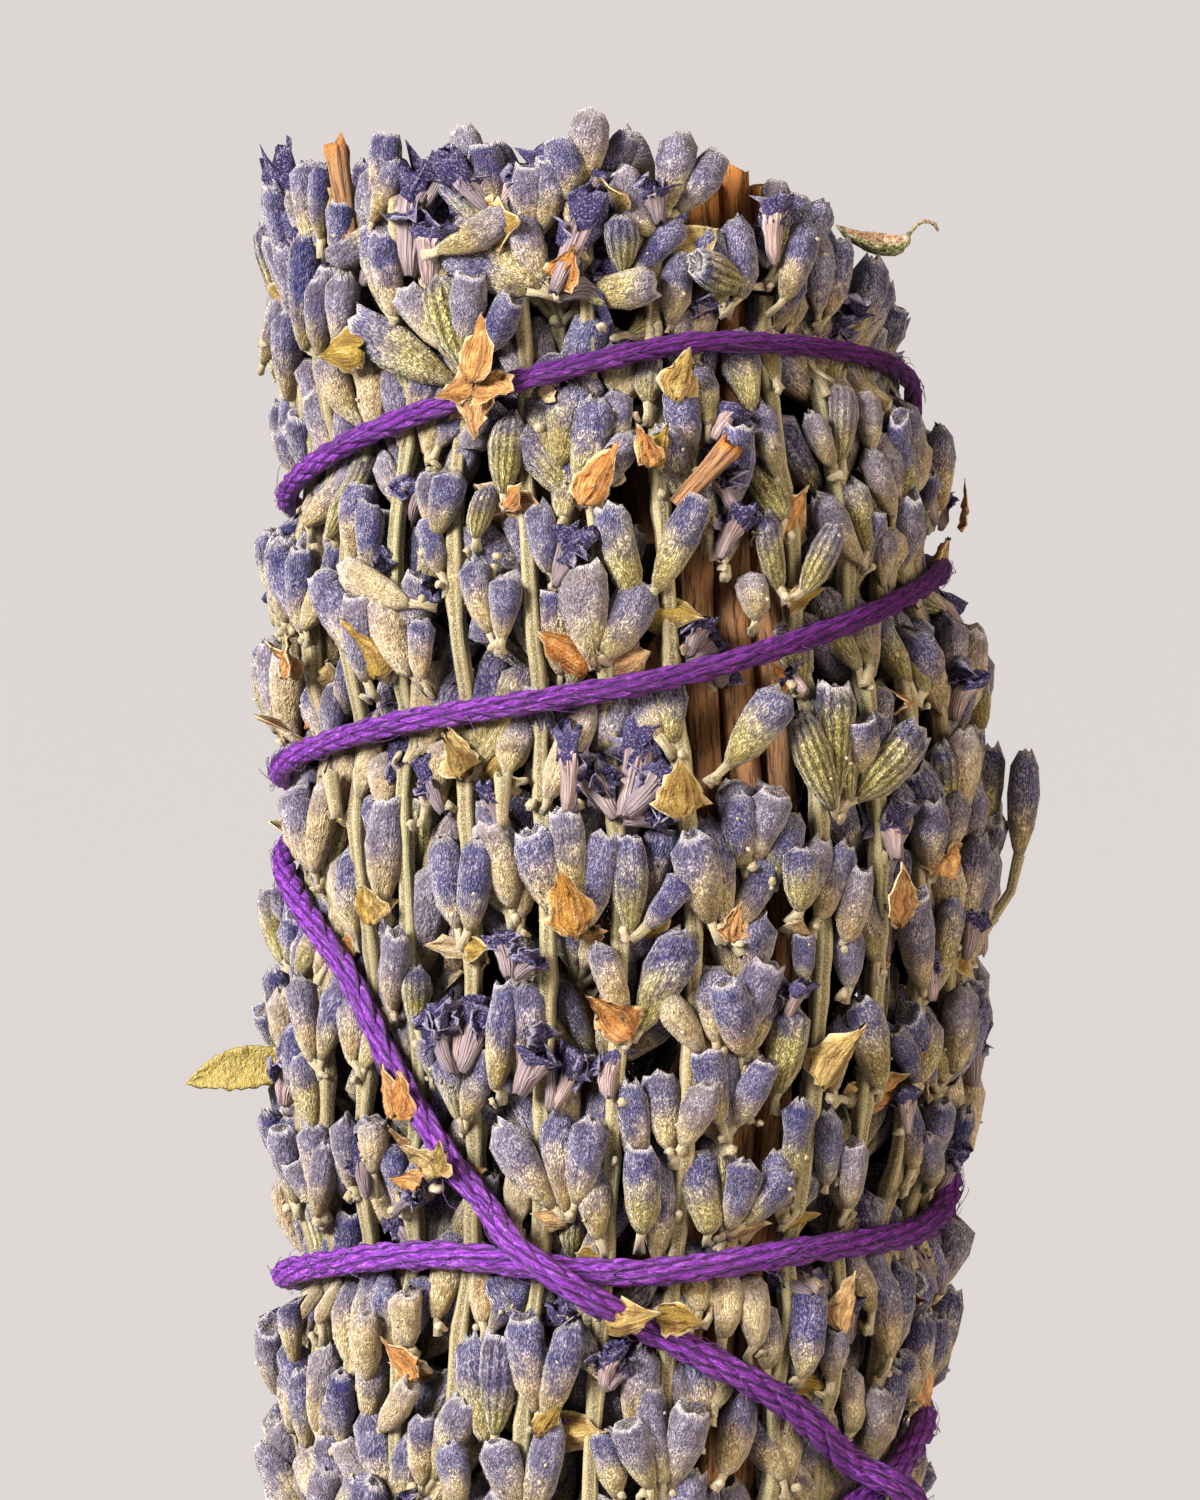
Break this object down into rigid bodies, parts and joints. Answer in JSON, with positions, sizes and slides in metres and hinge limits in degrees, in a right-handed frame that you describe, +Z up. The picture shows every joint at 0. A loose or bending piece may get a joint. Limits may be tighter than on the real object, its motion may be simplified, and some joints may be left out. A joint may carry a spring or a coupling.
{
  "type": "lavender smudge stick",
  "caption": "Standing bundle of dried lavender spikes round woody stalks, bound with violet cotton string.",
  "frame": {"origin": "centre of the middle stalk's cut foot, on the surface that the bundle stands on", "axes": "+Z up along the bundle towards the flower tips, -Y towards the front, where the picture looks from"},
  "size_m": [0.0506, 0.0441, 0.1253],
  "materials": {
    "dried_lavender": "dry and downy",
    "woody_stalk": "dry bark, sawn ends",
    "violet_cotton": "twisted yarn, matt",
    "dry_leaf": "papery"
  },
  "bodies": {
    "root": {"curled_leaf": "dry_leaf", "inner_spike_1": "dried_lavender", "inner_spike_2": "dried_lavender", "inner_spike_3": "dried_lavender", "inner_spike_4": "dried_lavender", "inner_spike_5": "dried_lavender", "inner_spike_6": "dried_lavender", "inner_spike_7": "dried_lavender", "middle_spike_01": "dried_lavender", "middle_spike_02": "dried_lavender", "middle_spike_03": "dried_lavender", "middle_spike_04": "dried_lavender", "middle_spike_05": "dried_lavender", "middle_spike_06": "dried_lavender", "middle_spike_07": "dried_lavender", "middle_spike_08": "dried_lavender", "middle_spike_09": "dried_lavender", "middle_spike_10": "dried_lavender", "middle_spike_11": "dried_lavender", "middle_stalk": "woody_stalk", "outer_spike_01": "dried_lavender", "outer_spike_02": "dried_lavender", "outer_spike_03": "dried_lavender", "outer_spike_04": "dried_lavender", "outer_spike_05": "dried_lavender", "outer_spike_06": "dried_lavender", "outer_spike_07": "dried_lavender", "outer_spike_08": "dried_lavender", "outer_spike_09": "dried_lavender", "outer_spike_10": "dried_lavender", "outer_spike_11": "dried_lavender", "outer_spike_12": "dried_lavender", "outer_spike_13": "dried_lavender", "outer_spike_14": "dried_lavender", "outer_spike_15": "dried_lavender", "outer_spike_16": "dried_lavender", "outer_spike_17": "dried_lavender", "outer_spike_18": "dried_lavender", "outer_spike_19": "dried_lavender", "outer_spike_20": "dried_lavender", "outer_spike_21": "dried_lavender", "outer_spike_22": "dried_lavender", "outer_spike_23": "dried_lavender", "outer_spike_24": "dried_lavender", "outer_spike_25": "dried_lavender", "outer_spike_26": "dried_lavender", "outer_spike_27": "dried_lavender", "side_leaf": "dry_leaf", "tie_string": "violet_cotton", "woody_stalk_1": "woody_stalk", "woody_stalk_2": "woody_stalk", "woody_stalk_3": "woody_stalk", "woody_stalk_4": "woody_stalk", "woody_stalk_5": "woody_stalk", "woody_stalk_6": "woody_stalk", "woody_stalk_7": "woody_stalk"}
  },
  "joints": []
}
